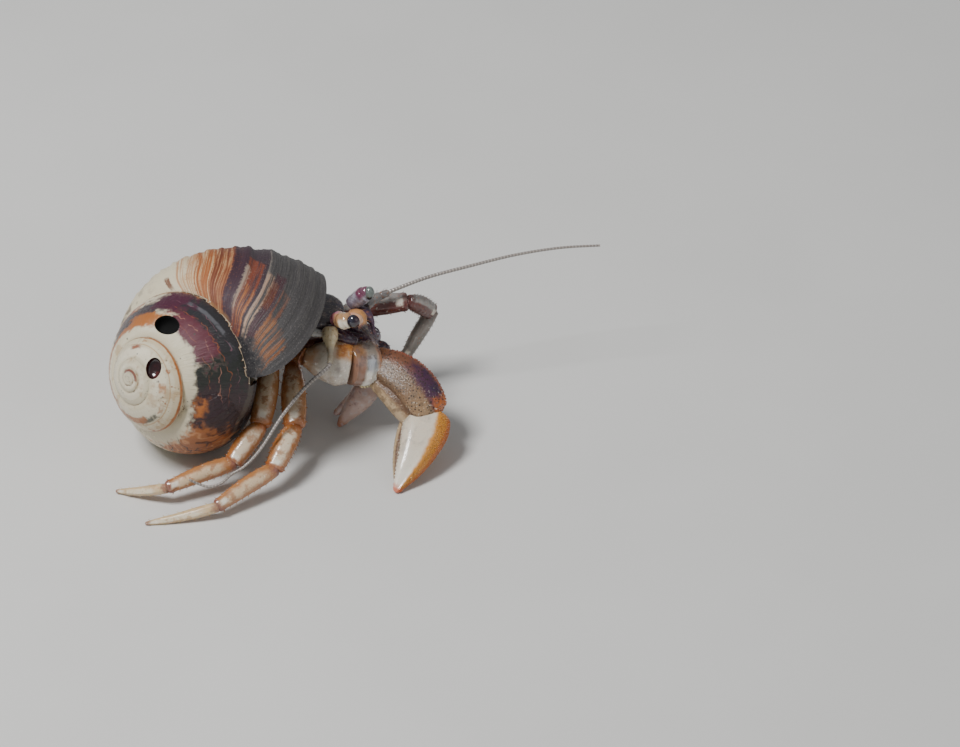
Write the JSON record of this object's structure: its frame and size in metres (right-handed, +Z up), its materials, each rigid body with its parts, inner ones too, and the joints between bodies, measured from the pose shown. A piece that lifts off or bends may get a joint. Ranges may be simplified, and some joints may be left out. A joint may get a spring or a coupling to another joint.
{
  "type": "hermit crab in a turban shell",
  "caption": "Hermit crab walking in a turban shell, larger right claw reaching down, long antenna forward, on a level floor.",
  "frame": {"origin": "middle of the bounding box at the floor", "axes": "+X the way the crab walks, +Z up, -Y its right-hand side with the larger claw"},
  "size_m": [0.0528, 0.0344, 0.0207],
  "materials": {
    "shell": "worn, half matt shell with a glossier spire",
    "shield": "wet, smooth thin chitin",
    "soft_body": "soft damp skin",
    "right_claw": "wet granulate chitin",
    "left_claw": "wet smooth chitin",
    "legs": "wet, slightly translucent chitin",
    "eyestalks": "wet smooth chitin",
    "corneas": "polished dark lens",
    "feelers": "thin beaded chitin"
  },
  "bodies": {
    "root": {"shell": "shell", "shield": "shield", "thorax": "soft_body", "abdomen": "soft_body", "right_claw_ischium": "right_claw", "right_claw_merus": "right_claw", "right_claw_carpus": "right_claw", "right_claw_palm": "right_claw", "right_claw_finger": "right_claw", "left_claw_merus": "left_claw", "left_claw_carpus": "left_claw", "left_claw_palm": "left_claw", "left_claw_finger": "left_claw", "right_leg2_merus": "legs", "right_leg2_carpus": "legs", "right_leg2_propodus": "legs", "right_leg2_dactyl": "legs", "right_leg3_merus": "legs", "right_leg3_carpus": "legs", "right_leg3_propodus": "legs", "right_leg3_dactyl": "legs", "left_leg2_merus": "legs", "left_leg2_carpus": "legs", "left_leg2_propodus": "legs", "left_leg2_dactyl": "legs", "left_leg3_merus": "legs", "left_leg3_carpus": "legs", "left_leg3_propodus": "legs", "left_leg3_dactyl": "legs", "right_eyestalk": "eyestalks", "right_cornea": "corneas", "right_antenna_base": "feelers", "right_antenna": "feelers", "right_antennule": "feelers", "right_maxilliped": "feelers", "right_leg4": "soft_body", "right_leg5": "soft_body", "left_eyestalk": "eyestalks", "left_cornea": "corneas", "left_antenna_base": "feelers", "left_antenna": "feelers", "left_antennule": "feelers", "left_maxilliped": "feelers", "left_leg4": "soft_body", "left_leg5": "soft_body"}
  },
  "joints": []
}
